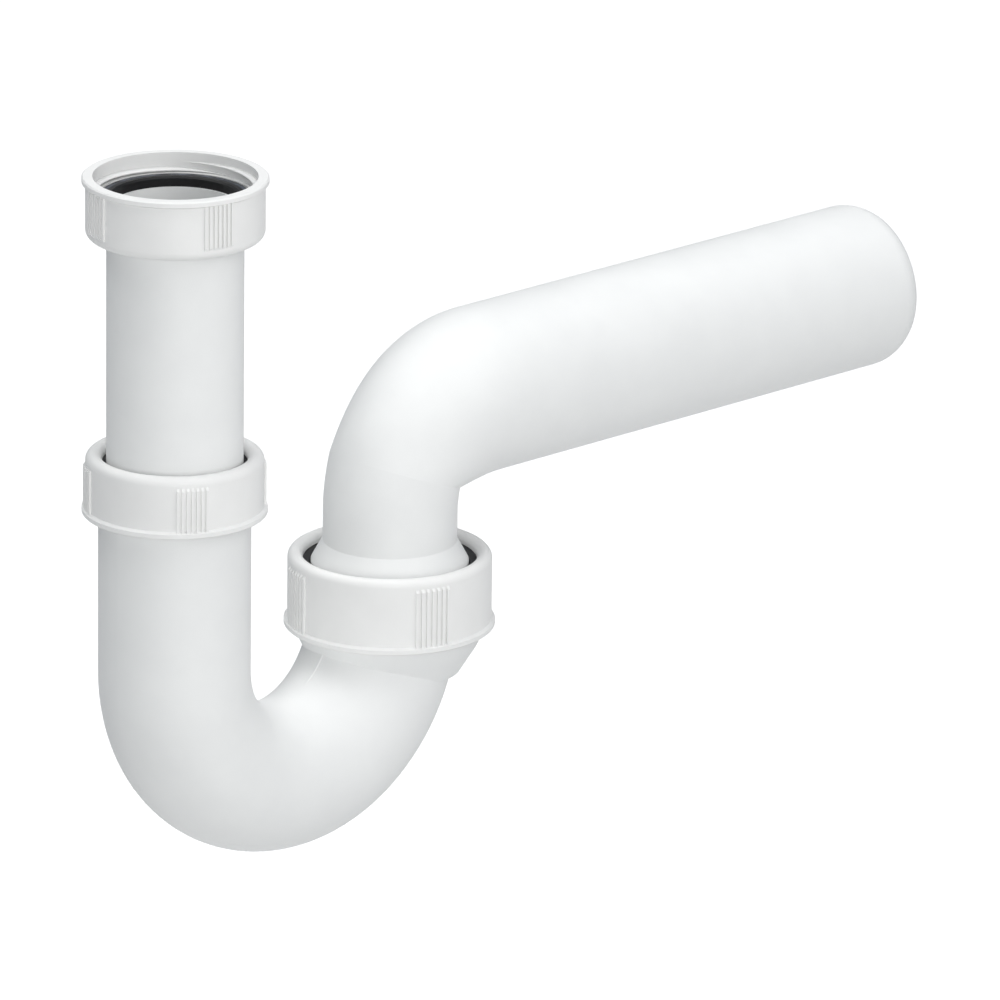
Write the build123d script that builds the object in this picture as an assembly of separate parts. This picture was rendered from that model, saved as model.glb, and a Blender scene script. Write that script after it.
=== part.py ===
from build123d import *
import os
from math import atan2, cos, radians, sin

# Tubular trap: a 40 mm inlet tube, a U bend that holds the water seal and a 50 mm elbow to the wall.
# Millimetres, Z up, X towards the outlet; the origin is on the inlet axis at the gasket's sealing face.

# Inlet tube with its head, and the gasket on it
tube_od = 40.0
tube_wall = 2.0
tube_length = 122.0
head_overhang = 2.2
head_height = 4.6
gasket_height = 3.0
gasket_set_back = 0.5
gasket_edge = 0.5

# Inlet nut, for a G 1 1/2 thread, and slip nut
thread_od = 47.8
thread_entry = 5.8
small_nut_height = 18.2

# Outlet nut
large_nut_height = 22.8

# Form shared by the three nuts
nut_wall = 2.2
nut_floor = 3.0
nut_round = 2.45
lip_overhang = 1.05
lip_height = 1.6
lip_step = 0.6
lip_edge = 0.4

# Ribbed grip pads on the nuts, and how far each nut is turned
pad_count = 4
pad_angle = 20.4
rib_count = 7
rib_angle = 1.7
rib_slope = 0.9
rib_sink = 1.0
rib_below_lip = 0.4
pad_stop = 2.9
inlet_nut_angle = 257.1
slip_nut_angle = 239.7
outlet_nut_angle = 252.2

# Tapered seals of the slip joint and the outlet joint, and the necks that they sit in
seal_head_height = 1.8
seal_cone_height = 4.5
seal_cone_tip = 0.6
neck_rim = 0.7

# Slip joint: its height at rest and its neck
slip_drop = 77.8
neck_thread_rise = 1.55
neck_thread_length = 12.8

# Bend: one moulding from the slip neck through the U to the outlet cup
bend_wall = 2.0
bend_radius = 41.5
bend_angle = 166.5
bend_run = 7.0
leg_length = 62.2
outlet_shift = 2.0
cup_height = 13.4
cup_floor = 2.2
cup_thread_rise = 3.2
cup_below_nut = 2.6
cup_round = 16.0
cup_cone_height = 11.0
cup_cone_inset = 0.95
cup_floor_inset = 2.9

# Outlet elbow: spigot, flare, 40 mm leg, 90 degree bend and 50 mm pipe with a rounded lead at its end
spigot_inset = 1.5
spigot_depth = 14.0
flare_height = 6.5
leg_straight = 8.2
elbow_leg_od = 40.0
elbow_wall = 2.0
elbow_throat = 6.0
leg_side_steps = 3
pipe_side_steps = 5
pipe_od = 50.0
pipe_reach = 196.3
lead_length = 2.6
lead_depth = 1.5
lead_round = 8.0

# Clearances
seat_gap = 0.1
slide_gap = 0.35
ring_gap = 0.3
thread_gap = 0.3
spigot_gap = 0.5
slip_hole_gap = 1.2
outlet_hole_gap = 2.4

# Radii and levels of the inlet and the slip joint
tube_r = tube_od / 2
tube_bore_r = tube_r - tube_wall
head_r = tube_r + head_overhang
head_top = -gasket_height
head_bottom = head_top - head_height
tube_end = head_top - tube_length
bend_bore_r = tube_r + slide_gap
bend_r = bend_bore_r + bend_wall
neck_r = bend_r + neck_thread_rise
slip_nut_bottom = -slip_drop - small_nut_height
seal_top = -slip_drop - nut_floor - seat_gap
neck_top = seal_top - seal_head_height - seat_gap
bend_level = neck_top - leg_length

# Radii and levels of the outlet cup and its nut
pipe_r = pipe_od / 2
cup_r = pipe_r + cup_thread_rise
spigot_r = pipe_r - spigot_inset
cup_bore_r = spigot_r + spigot_gap
cup_top = bend_level + cup_height
outlet_seal_top = cup_top + seat_gap + seal_head_height
flare_bottom = outlet_seal_top + seat_gap
outlet_nut_bottom = flare_bottom + nut_floor - large_nut_height
turned_x = bend_radius * (1 - cos(radians(bend_angle)))
outlet_x = turned_x + bend_run * sin(radians(bend_angle)) + outlet_shift

# Radii and levels of the elbow
elbow_leg_r = elbow_leg_od / 2
flare_top = flare_bottom + flare_height
elbow_start = flare_top + leg_straight
elbow_outer_r = pipe_od + elbow_throat
elbow_end = elbow_outer_r - elbow_leg_r
pipe_level = elbow_start + elbow_outer_r - pipe_r
corner_angle = atan2(elbow_throat, elbow_end - elbow_leg_r)
pipe_place = Pos(elbow_end, 0, pipe_level) * Rot(Y=90)


def turned(outline, rounded=()):
    """Solid of revolution about Z from (radius, height) points, with some corners rounded."""
    face = make_face(Polyline(*outline, close=True))
    for corner, radius in rounded:
        face = fillet(face.vertices().sort_by_distance(corner)[0], radius)
    return revolve(Plane.XZ * face, Axis.Z)


def grip_ribs(body_r, lip_r, height):
    """Fine upright ribs in four pads, each rib from the lip to a sloped end below the shoulder."""
    rib_r = lip_r - rib_below_lip
    rib_end = pad_stop - height
    outline = [
        (body_r - rib_sink, -lip_height / 2),
        (rib_r, -lip_height / 2),
        (rib_r, rib_end + rib_slope),
        (body_r, rib_end),
        (body_r - rib_sink, rib_end),
    ]
    face = make_face(Polyline(*outline, close=True))
    rib = revolve(Plane.XZ * face, Axis.Z, rib_angle)
    pitch = (pad_angle - rib_angle) / (rib_count - 1)
    ribs = []
    for pad in range(pad_count):
        start = pad * 360 / pad_count - pad_angle / 2
        ribs += [Rot(Z=start + index * pitch) * rib for index in range(rib_count)]
    return ribs


def union_nut(thread_r, hole_r, height, inside):
    """Nut with its mouth up at height 0 and a full round rim; inside is the outline from seat to mouth."""
    body_r = thread_r + nut_wall
    lip_r = body_r + lip_overhang
    rim_round = min(nut_round, 0.49 * (body_r - hole_r))
    outside = [
        (lip_r - lip_edge, 0),
        (lip_r, -lip_edge),
        (lip_r, -lip_height),
        (body_r, -lip_height - lip_step),
        (body_r, -height),
        (hole_r, -height),
    ]
    nut = turned(outside + inside, [((body_r, -height), rim_round), ((hole_r, -height), rim_round)])
    return nut + grip_ribs(body_r, lip_r, height)


def inlet_nut():
    """Nut on the tube's head, thread at the mouth and a plain recess round gasket and head below it."""
    recess_r = head_r + ring_gap
    wall_r = thread_od / 2 + seat_gap
    hole_r = tube_r + ring_gap + seat_gap
    seat = head_bottom - seat_gap - thread_entry
    inside = [
        (hole_r, seat),
        (recess_r, seat),
        (recess_r, -thread_entry),
        (wall_r, -thread_entry),
        (wall_r, 0),
    ]
    nut = union_nut(thread_od / 2, hole_r, small_nut_height, inside)
    return Pos(0, 0, thread_entry) * Rot(Z=inlet_nut_angle) * nut


def inlet_gasket():
    """Flat rubber ring between the tube's head and the waste above, its upper edges eased."""
    inner_r = tube_bore_r + gasket_set_back
    outline = [
        (inner_r, head_top),
        (head_r, head_top),
        (head_r, -gasket_edge),
        (head_r - gasket_edge, 0),
        (inner_r + gasket_edge, 0),
        (inner_r, -gasket_edge),
    ]
    return turned(outline)


def inlet_tube():
    """Plain tube with a flanged head."""
    outline = [
        (tube_bore_r, head_top),
        (head_r, head_top),
        (head_r, head_bottom),
        (tube_r, head_bottom),
        (tube_r, tube_end),
        (tube_bore_r, tube_end),
    ]
    return turned(outline)


def slip_nut():
    """Nut with its mouth down that presses the tapered seal into the bend's neck."""
    wall_r = neck_r + thread_gap
    hole_r = tube_r + slip_hole_gap
    seat = nut_floor - small_nut_height
    nut = union_nut(neck_r, hole_r, small_nut_height, [(hole_r, seat), (wall_r, seat), (wall_r, 0)])
    return Pos(0, 0, slip_nut_bottom) * Rot(Z=slip_nut_angle) * Rot(X=180) * nut


def tapered_seal(inside_r, outside_r, top):
    """Rubber ring round a pipe, with a flat head on a neck's rim and a cone in the neck's seat."""
    inner_r = inside_r + ring_gap
    outer_r = outside_r - ring_gap
    head_end = top - seal_head_height
    cone_end = head_end - seat_gap - seal_cone_height
    outline = [
        (inner_r, top),
        (outer_r, top),
        (outer_r, head_end),
        (outer_r - neck_rim, head_end),
        (inner_r + seal_cone_tip, cone_end),
        (inner_r, cone_end),
    ]
    return turned(outline)


def seal_seat(inside_r, outside_r, top):
    """Room for a tapered seal's cone, cut into the top of a neck."""
    cone_end = top - seal_cone_height
    tip_r = inside_r + ring_gap + seal_cone_tip + ring_gap
    return turned([(0, top), (outside_r - neck_rim, top), (tip_r, cone_end), (0, cone_end)])


def slip_seal():
    """Seal round the inlet tube."""
    return tapered_seal(tube_r, neck_r, seal_top)


def bend_path():
    """Centre line: down the leg, round the U and a short way on towards the cup."""
    leg = Line((0, 0, neck_top), (0, 0, bend_level))
    turn = Plane.XZ * CenterArc((bend_radius, bend_level), bend_radius, 180, bend_angle)
    run = Line(turn @ 1, turn @ 1 + (turn % 1) * bend_run)
    return leg + turn + run


def cup_form():
    """Threaded neck that rounds into a cone on the bend's end, and the room inside it."""
    cone_top = outlet_nut_bottom - cup_below_nut
    cone_base = cone_top - cup_cone_height
    base_r = bend_r - cup_cone_inset
    floor = cone_base + cup_floor
    body = turned([(0, cup_top), (cup_r, cup_top), (cup_r, cone_top), (base_r, cone_base), (0, cone_base)],
                  [((cup_r, cone_top), cup_round)])
    room = turned([(0, cup_top), (cup_bore_r, cup_top), (cup_bore_r, cone_top),
                   (base_r - cup_floor_inset, floor), (0, floor)])
    room += seal_seat(spigot_r, cup_r, cup_top)
    return Pos(outlet_x, 0, 0) * body, Pos(outlet_x, 0, 0) * room


def trap_bend():
    """One moulding: threaded neck, leg, U bend and threaded cup, all hollow."""
    start = Plane((0, 0, neck_top), z_dir=(0, 0, -1))
    neck_end = neck_top - neck_thread_length
    neck = turned([(0, neck_top), (neck_r, neck_top), (neck_r, neck_end), (0, neck_end)])
    cup, room = cup_form()
    outer = sweep(start * Circle(bend_r), path=bend_path()) + neck + cup
    bore = sweep(start * Circle(bend_bore_r), path=bend_path())
    return outer - bore - seal_seat(tube_r, neck_r, neck_top) - room


def outlet_nut():
    """Larger nut with its mouth down that presses the outlet seal into the cup."""
    wall_r = cup_r + thread_gap
    hole_r = spigot_r + outlet_hole_gap
    seat = nut_floor - large_nut_height
    nut = union_nut(cup_r, hole_r, large_nut_height, [(hole_r, seat), (wall_r, seat), (wall_r, 0)])
    return Pos(outlet_x, 0, outlet_nut_bottom) * Rot(Z=outlet_nut_angle) * Rot(X=180) * nut


def outlet_seal():
    """Seal round the elbow's spigot."""
    return Pos(outlet_x, 0, 0) * tapered_seal(spigot_r, cup_r, outlet_seal_top)


def elbow_section(angle, wall):
    """Oval across the elbow's bend, in a plane that swings about the centre of its outer arc."""
    run = elbow_end - elbow_leg_r
    inner = run / cos(angle) if angle <= corner_angle else elbow_throat / sin(angle)
    share = angle / radians(90)
    side_r = elbow_leg_r + (pipe_r - elbow_leg_r) * share ** 2 * (3 - 2 * share)
    depth_r = (elbow_outer_r - inner) / 2
    middle = elbow_outer_r - depth_r
    centre = (elbow_end - middle * cos(angle), 0, elbow_start + middle * sin(angle))
    plane = Plane(centre, x_dir=(0, 1, 0), z_dir=(sin(angle), 0, cos(angle)))
    return plane * scale(Circle(1), (side_r - wall, depth_r - wall, 1))


def elbow_bend(wall):
    """Bend with a wide outer arc and a sharp inner corner, its section growing from leg to pipe."""
    spans = [(0, corner_angle, leg_side_steps), (corner_angle, radians(90), pipe_side_steps)]
    halves = []
    for first, last, steps in spans:
        angles = [first + (last - first) * step / steps for step in range(steps + 1)]
        halves.append(loft([elbow_section(angle, wall) for angle in angles]))
    return halves[0] + halves[1]


def elbow_leg(wall):
    """Spigot that widens the leg's foot through a flare."""
    spigot_end = cup_top - spigot_depth
    return turned([(0, spigot_end), (spigot_r - wall, spigot_end), (spigot_r - wall, flare_bottom),
                   (elbow_leg_r - wall, flare_top), (elbow_leg_r - wall, elbow_start), (0, elbow_start)])


def outlet_pipe():
    """Straight pipe with a rounded lead at its end."""
    length = pipe_reach - elbow_end
    corner = (pipe_r, length - lead_length)
    outline = [(0, 0), (pipe_r, 0), corner, (pipe_r - lead_depth, length), (0, length)]
    return pipe_place * turned(outline, [(corner, lead_round)])


def outlet_elbow():
    """One moulding: spigot, flare, leg, bend and pipe, all hollow."""
    outer = elbow_leg(0) + elbow_bend(0) + outlet_pipe()
    bore_r = pipe_r - elbow_wall
    length = pipe_reach - elbow_end
    pipe_bore = pipe_place * turned([(0, 0), (bore_r, 0), (bore_r, length), (0, length)])
    bore = elbow_leg(elbow_wall) + elbow_bend(elbow_wall) + pipe_bore
    return Pos(outlet_x, 0, 0) * (outer - bore)


os.makedirs("parts", exist_ok=True)
pieces = [inlet_nut, inlet_gasket, inlet_tube, slip_nut, slip_seal, trap_bend,
          outlet_nut, outlet_seal, outlet_elbow]
for piece in pieces:
    export_step(piece(), f"parts/{piece.__name__}.step")
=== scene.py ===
import math

import bmesh
import bpy
from mathutils import Matrix, Vector


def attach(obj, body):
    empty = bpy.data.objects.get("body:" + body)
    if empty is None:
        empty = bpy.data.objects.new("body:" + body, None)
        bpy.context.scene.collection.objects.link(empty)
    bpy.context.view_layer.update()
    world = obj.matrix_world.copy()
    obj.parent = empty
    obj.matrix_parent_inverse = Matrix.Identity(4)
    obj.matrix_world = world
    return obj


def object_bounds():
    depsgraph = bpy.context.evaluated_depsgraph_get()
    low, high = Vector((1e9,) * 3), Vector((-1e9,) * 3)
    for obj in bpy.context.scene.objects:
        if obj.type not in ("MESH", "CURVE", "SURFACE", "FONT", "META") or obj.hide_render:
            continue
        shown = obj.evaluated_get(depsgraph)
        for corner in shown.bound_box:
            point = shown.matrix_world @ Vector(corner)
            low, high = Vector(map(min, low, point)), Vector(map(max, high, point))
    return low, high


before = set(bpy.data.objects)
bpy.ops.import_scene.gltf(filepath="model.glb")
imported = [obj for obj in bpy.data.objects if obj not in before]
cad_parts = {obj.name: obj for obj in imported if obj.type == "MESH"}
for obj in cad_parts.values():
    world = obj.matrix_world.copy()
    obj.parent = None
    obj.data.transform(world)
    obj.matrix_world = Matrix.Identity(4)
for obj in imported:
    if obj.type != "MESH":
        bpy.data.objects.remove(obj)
cad_low, cad_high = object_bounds()

# Lengths are in metres, angles in degrees and lamp powers in watts, where nothing else is said.

# Camera, measured from the photograph; sensor and lens in millimetres
VIEW_AZIMUTH = -43.39
VIEW_ELEVATION = 18.23
VIEW_ROLL = -0.64
VIEW_DISTANCE = 3.477
VIEW_TARGET = Vector((0.06875, -0.0650, -0.09153))
SENSOR = 36.0
LENS = 430.3
CLIP_END = 40.0

# Soft lights: name, azimuth, elevation, distance, width, height, power and colour
SOFT_BOXES = (
    ("front_light", -43.0, 11.0, 2.6, 1.6, 1.4, 27.0, (1.0, 1.0, 0.98)),
    ("right_light", 16.0, 38.0, 2.1, 1.5, 1.5, 17.0, (1.0, 0.99, 0.98)),
    ("top_light", -43.0, 88.0, 1.8, 1.8, 1.8, 14.0, (1.0, 1.0, 1.0)),
    ("back_light", -165.0, 60.0, 2.0, 2.2, 1.6, 18.0, (1.0, 1.0, 0.98)),
)
WORLD_COLOUR = (0.88, 0.97, 1.08, 1.0)
WORLD_STRENGTH = 0.19

# Floor: lights meet its matt colour, and the glow shows only to the camera and in reflections
FLOOR_LEVEL = -0.62
FLOOR_SIZE = 16.0
FLOOR_MATT = (0.66, 0.66, 0.66, 1.0)
FLOOR_GLOW = 0.80

# Surfaces: reflection on the shader's own scale of 0 to 1, then the noise's usual span and its detail
SPECULAR = 0.35
NOISE_LOW = 0.3
NOISE_HIGH = 0.7
CLOUD_DETAIL = 3.0
GRAIN_DETAIL = 2.0
GRAIN_STRENGTH = 0.5
RUBBER_CLOUD_SCALE = 220.0
RUBBER_GRAIN_SCALE = 3500.0
RUBBER_GRAIN_DEPTH = 0.00005

# Gasket's radii, and its painted highlight: a grey band painted where light falls on the raised ring's
# top face, as (share of the way from hole to rim, strength)
GASKET_HOLE_R = 0.0185
GASKET_R = 0.0222
PAINTED_HIGHLIGHT_STOPS = ((0.44, 0.0), (0.54, 1.0), (0.78, 1.0), (0.86, 0.0))

# Thread ridge inside the inlet nut; its section as (share of depth, share of half a pitch)
THREAD_PITCH = 0.002309
THREAD_ROOT_R = 0.02402
THREAD_CREST_R = 0.02248
THREAD_LOW = 0.0003
THREAD_HIGH = 0.0029
THREAD_STEPS = 96
THREAD_RUN_OUT = 6  # full depth after one sixth of a turn
THREAD_SECTION = (
    (0.0, -0.80), (0.55, -0.42), (0.92, -0.22), (1.0, 0.0), (0.92, 0.22), (0.55, 0.42), (0.0, 0.80),
)

# Mould line at the bend's throat: the throat's circle, the line's span on it from level to down,
# and its section as (share of half the width, share of the height)
THROAT_X = 0.0415
THROAT_Z = -0.145
THROAT_R = 0.01915
MOULD_FIRST = 16.0
MOULD_LAST = 60.0
MOULD_HEIGHT = 0.00022
MOULD_WIDTH = 0.0007
MOULD_STEPS = 40
MOULD_RUN_OUT = 4  # full height after one quarter of the line
MOULD_SECTION = ((-1.0, -0.3), (-0.35, 0.8), (0.0, 1.0), (0.35, 0.8), (1.0, -0.3))


def view_axes(azimuth, elevation, roll=0.0):
    """Right, up and back directions of a camera at these angles."""
    a = math.radians(azimuth)
    e = math.radians(elevation)
    r = math.radians(roll)
    back = Vector((math.sin(a) * math.cos(e), -math.cos(a) * math.cos(e), math.sin(e)))
    right = Vector((math.cos(a), math.sin(a), 0.0))
    up = back.cross(right)
    turned_right = right * math.cos(r) - up * math.sin(r)
    turned_up = right * math.sin(r) + up * math.cos(r)
    return turned_right, turned_up, back


def place(obj, origin, right, up, back):
    """Sets an object's place and its local axes."""
    columns = Matrix((right, up, back)).transposed().to_4x4()
    obj.matrix_world = Matrix.Translation(origin) @ columns


def add_object(name, data):
    """New object in the scene."""
    obj = bpy.data.objects.new(name, data)
    bpy.context.scene.collection.objects.link(obj)
    return obj


def make_camera():
    """Camera at the photograph's angle and framing."""
    data = bpy.data.cameras.new("camera")
    data.sensor_width = SENSOR
    data.lens = LENS
    data.clip_end = CLIP_END
    camera = add_object("camera", data)
    right, up, back = view_axes(VIEW_AZIMUTH, VIEW_ELEVATION, VIEW_ROLL)
    place(camera, VIEW_TARGET + back * VIEW_DISTANCE, right, up, back)
    bpy.context.scene.camera = camera


def soft_box(name, azimuth, elevation, distance, width, height, power, colour):
    """Rectangular studio light that faces the object's middle."""
    data = bpy.data.lights.new(name, "AREA")
    data.shape = "RECTANGLE"
    data.size = width
    data.size_y = height
    data.energy = power
    data.color = colour
    light = add_object(name, data)
    right, up, back = view_axes(azimuth, elevation)
    middle = (cad_low + cad_high) / 2
    place(light, middle + back * distance, right, up, back)


def make_world():
    """Even pale surroundings."""
    world = bpy.data.worlds.new("studio")
    bpy.context.scene.world = world
    world.use_nodes = True
    background = world.node_tree.nodes["Background"]
    background.inputs["Color"].default_value = WORLD_COLOUR
    background.inputs["Strength"].default_value = WORLD_STRENGTH


def floor_material():
    """White to camera, glossy and transmission rays, a plain pale matt to the light."""
    material = bpy.data.materials.new("pale_floor")
    material.use_nodes = True
    tree = material.node_tree
    tree.nodes.clear()
    matt = tree.nodes.new("ShaderNodeBsdfDiffuse")
    matt.inputs["Color"].default_value = FLOOR_MATT
    glow = tree.nodes.new("ShaderNodeEmission")
    glow.inputs["Strength"].default_value = FLOOR_GLOW
    path = tree.nodes.new("ShaderNodeLightPath")
    seen = tree.nodes.new("ShaderNodeMath")
    seen.operation = "MAXIMUM"
    seen_or_through = tree.nodes.new("ShaderNodeMath")
    seen_or_through.operation = "MAXIMUM"
    tree.links.new(path.outputs["Is Camera Ray"], seen.inputs[0])
    tree.links.new(path.outputs["Is Glossy Ray"], seen.inputs[1])
    tree.links.new(seen.outputs[0], seen_or_through.inputs[0])
    tree.links.new(path.outputs["Is Transmission Ray"], seen_or_through.inputs[1])
    both = tree.nodes.new("ShaderNodeAddShader")
    tree.links.new(matt.outputs[0], both.inputs[0])
    tree.links.new(glow.outputs[0], both.inputs[1])
    mix = tree.nodes.new("ShaderNodeMixShader")
    tree.links.new(seen_or_through.outputs[0], mix.inputs[0])
    tree.links.new(matt.outputs[0], mix.inputs[1])
    tree.links.new(both.outputs[0], mix.inputs[2])
    out = tree.nodes.new("ShaderNodeOutputMaterial")
    tree.links.new(mix.outputs[0], out.inputs["Surface"])
    return material


def make_floor():
    """Pale floor well below the trap, shown white with the trap's shadow kept."""
    mesh = bpy.data.meshes.new("floor")
    half = FLOOR_SIZE / 2
    sides = ((-half, -half), (half, -half), (half, half), (-half, half))
    mesh.from_pydata([(x, y, FLOOR_LEVEL) for x, y in sides], [], [(0, 1, 2, 3)])
    floor = add_object("floor", mesh)
    mesh.materials.append(floor_material())


def noise(tree, coordinates, scale, detail):
    """Noise over the object's own coordinates; scale counts features in a metre."""
    node = tree.nodes.new("ShaderNodeTexNoise")
    node.inputs["Scale"].default_value = scale
    node.inputs["Detail"].default_value = detail
    tree.links.new(coordinates, node.inputs["Vector"])
    return node.outputs["Fac"]


def spread(tree, value, low, high):
    """Maps noise from its usual span onto low to high."""
    node = tree.nodes.new("ShaderNodeMapRange")
    node.inputs["From Min"].default_value = NOISE_LOW
    node.inputs["From Max"].default_value = NOISE_HIGH
    node.inputs["To Min"].default_value = low
    node.inputs["To Max"].default_value = high
    tree.links.new(value, node.inputs["Value"])
    return node.outputs["Result"]


def moulded(name, pale, dark, smooth, rough, cloud_scale, grain_scale, grain_depth):
    """Moulded surface: clouded colour, uneven gloss and a fine grain."""
    material = bpy.data.materials.new(name)
    material.use_nodes = True
    tree = material.node_tree
    shader = tree.nodes["Principled BSDF"]
    shader.inputs["Specular IOR Level"].default_value = SPECULAR
    coordinates = tree.nodes.new("ShaderNodeTexCoord").outputs["Object"]
    cloud = noise(tree, coordinates, cloud_scale, CLOUD_DETAIL)
    mix = tree.nodes.new("ShaderNodeMix")
    mix.data_type = "RGBA"
    mix.inputs["A"].default_value = (*dark, 1.0)
    mix.inputs["B"].default_value = (*pale, 1.0)
    tree.links.new(spread(tree, cloud, 0.0, 1.0), mix.inputs["Factor"])
    tree.links.new(mix.outputs["Result"], shader.inputs["Base Color"])
    tree.links.new(spread(tree, cloud, smooth, rough), shader.inputs["Roughness"])
    grain = noise(tree, coordinates, grain_scale, GRAIN_DETAIL)
    bump = tree.nodes.new("ShaderNodeBump")
    bump.inputs["Strength"].default_value = GRAIN_STRENGTH
    bump.inputs["Distance"].default_value = grain_depth
    tree.links.new(grain, bump.inputs["Height"])
    tree.links.new(bump.outputs["Normal"], shader.inputs["Normal"])
    return material


def rubber(name, pale, dark, smooth, rough):
    """Moulded rubber."""
    return moulded(name, pale, dark, smooth, rough, RUBBER_CLOUD_SCALE, RUBBER_GRAIN_SCALE,
                   RUBBER_GRAIN_DEPTH)


def rubber_with_painted_highlight(name, highlight_grey, edge, smooth, rough):
    """Black rubber of the gasket with a painted highlight: a greyer band ringed about its axis, between
    black edges, stands in for light on its raised ring.
    """
    material = rubber(name, highlight_grey, edge, smooth, rough)
    tree = material.node_tree
    shader = tree.nodes["Principled BSDF"]
    clouded = shader.inputs["Base Color"].links[0].from_socket
    coordinates = tree.nodes.new("ShaderNodeTexCoord").outputs["Object"]
    flat = tree.nodes.new("ShaderNodeVectorMath")
    flat.operation = "MULTIPLY"
    flat.inputs[1].default_value = (1.0, 1.0, 0.0)
    tree.links.new(coordinates, flat.inputs[0])
    radius = tree.nodes.new("ShaderNodeVectorMath")
    radius.operation = "LENGTH"
    tree.links.new(flat.outputs["Vector"], radius.inputs[0])
    across = tree.nodes.new("ShaderNodeMapRange")
    across.inputs["From Min"].default_value = GASKET_HOLE_R
    across.inputs["From Max"].default_value = GASKET_R
    tree.links.new(radius.outputs["Value"], across.inputs["Value"])
    # Painted highlight: this ramp lays the grey band where light would fall on the gasket's raised ring
    ramp = tree.nodes.new("ShaderNodeValToRGB")
    stops = ramp.color_ramp.elements
    for index, (position, strength) in enumerate(PAINTED_HIGHLIGHT_STOPS):
        stop = stops[index] if index < len(stops) else stops.new(position)
        stop.position = position
        stop.color = (strength, strength, strength, 1.0)
    tree.links.new(across.outputs["Result"], ramp.inputs["Fac"])
    mix = tree.nodes.new("ShaderNodeMix")
    mix.data_type = "RGBA"
    mix.inputs["A"].default_value = (*edge, 1.0)
    tree.links.new(clouded, mix.inputs["B"])
    tree.links.new(ramp.outputs["Color"], mix.inputs["Factor"])
    tree.links.new(mix.outputs["Result"], shader.inputs["Base Color"])
    return material


def dress(nodes, material):
    """Gives CAD nodes one material."""
    for node in nodes:
        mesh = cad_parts[node].data
        mesh.materials.clear()
        mesh.materials.append(material)


def swept(name, rings, material, smooth):
    """Closed piece through rings of points, capped at both ends."""
    mesh = bmesh.new()
    loops = [[mesh.verts.new(point) for point in ring] for ring in rings]
    for first, second in zip(loops, loops[1:]):
        for low in range(len(first)):
            high = (low + 1) % len(first)
            mesh.faces.new((first[low], first[high], second[high], second[low]))
    mesh.faces.new(loops[0])
    mesh.faces.new(list(reversed(loops[-1])))
    bmesh.ops.recalc_face_normals(mesh, faces=mesh.faces)
    for face in mesh.faces:
        face.smooth = smooth
    data = bpy.data.meshes.new(name)
    mesh.to_mesh(data)
    mesh.free()
    data.materials.append(material)
    return add_object(name, data)


def thread_ridge(material):
    """Helical thread inside the inlet nut, with its ends run out into the wall."""
    turns = (THREAD_HIGH - THREAD_LOW) / THREAD_PITCH
    count = int(turns * THREAD_STEPS)
    depth = THREAD_ROOT_R - THREAD_CREST_R
    half = THREAD_PITCH / 2
    rings = []
    for index in range(count + 1):
        along = index / count
        angle = along * turns * math.tau
        level = THREAD_LOW + along * (THREAD_HIGH - THREAD_LOW)
        run_out = min(1.0, along * turns * THREAD_RUN_OUT, (1 - along) * turns * THREAD_RUN_OUT)
        ring = []
        for inward, step in THREAD_SECTION:
            radius = THREAD_ROOT_R - depth * inward * run_out
            z = level + step * half * run_out
            ring.append((radius * math.cos(angle), radius * math.sin(angle), z))
        rings.append(ring)
    ridge = swept("inlet_thread", rings, material, True)
    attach(ridge, "inlet_nut")


def mould_line(material):
    """Fine ridge of the mould's parting at the bend's throat, run out at both ends."""
    rings = []
    for index in range(MOULD_STEPS + 1):
        along = index / MOULD_STEPS
        angle = math.radians(MOULD_FIRST + along * (MOULD_LAST - MOULD_FIRST))
        height = MOULD_HEIGHT * min(1.0, MOULD_RUN_OUT * along, MOULD_RUN_OUT * (1 - along))
        ring = []
        for side, inward in MOULD_SECTION:
            radius = THROAT_R - height * inward
            x = THROAT_X + radius * math.cos(angle)
            z = THROAT_Z - radius * math.sin(angle)
            ring.append((x, side * MOULD_WIDTH / 2, z))
        rings.append(ring)
    ridge = swept("mould_line", rings, material, False)
    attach(ridge, "bend")


make_camera()
for box in SOFT_BOXES:
    soft_box(*box)
make_world()
make_floor()

tube_plastic = moulded("tube_plastic", pale=(0.86, 0.865, 0.86), dark=(0.83, 0.835, 0.832), smooth=0.52,
                       rough=0.60, cloud_scale=60.0, grain_scale=2600.0, grain_depth=0.00003)
nut_plastic = moulded("nut_plastic", pale=(0.87, 0.868, 0.86), dark=(0.84, 0.838, 0.83), smooth=0.48,
                      rough=0.56, cloud_scale=80.0, grain_scale=2200.0, grain_depth=0.00004)
black_rubber = rubber("black_rubber", pale=(0.016, 0.016, 0.018), dark=(0.008, 0.008, 0.009), smooth=0.42,
                      rough=0.58)
# Gasket: black rubber, with a painted highlight as a grey band on its face
gasket_rubber_and_highlight = rubber_with_painted_highlight("gasket_rubber_and_highlight", highlight_grey=(0.13, 0.145, 0.18), edge=(0.004, 0.004, 0.005),
                              smooth=0.42, rough=0.56)

dress(("inlet_tube", "trap_bend", "outlet_elbow"), tube_plastic)
dress(("inlet_nut", "slip_nut", "outlet_nut"), nut_plastic)
dress(("slip_seal", "outlet_seal"), black_rubber)
dress(("inlet_gasket",), gasket_rubber_and_highlight)
thread_ridge(nut_plastic)
mould_line(tube_plastic)

bpy.context.scene.view_settings.view_transform = "Standard"
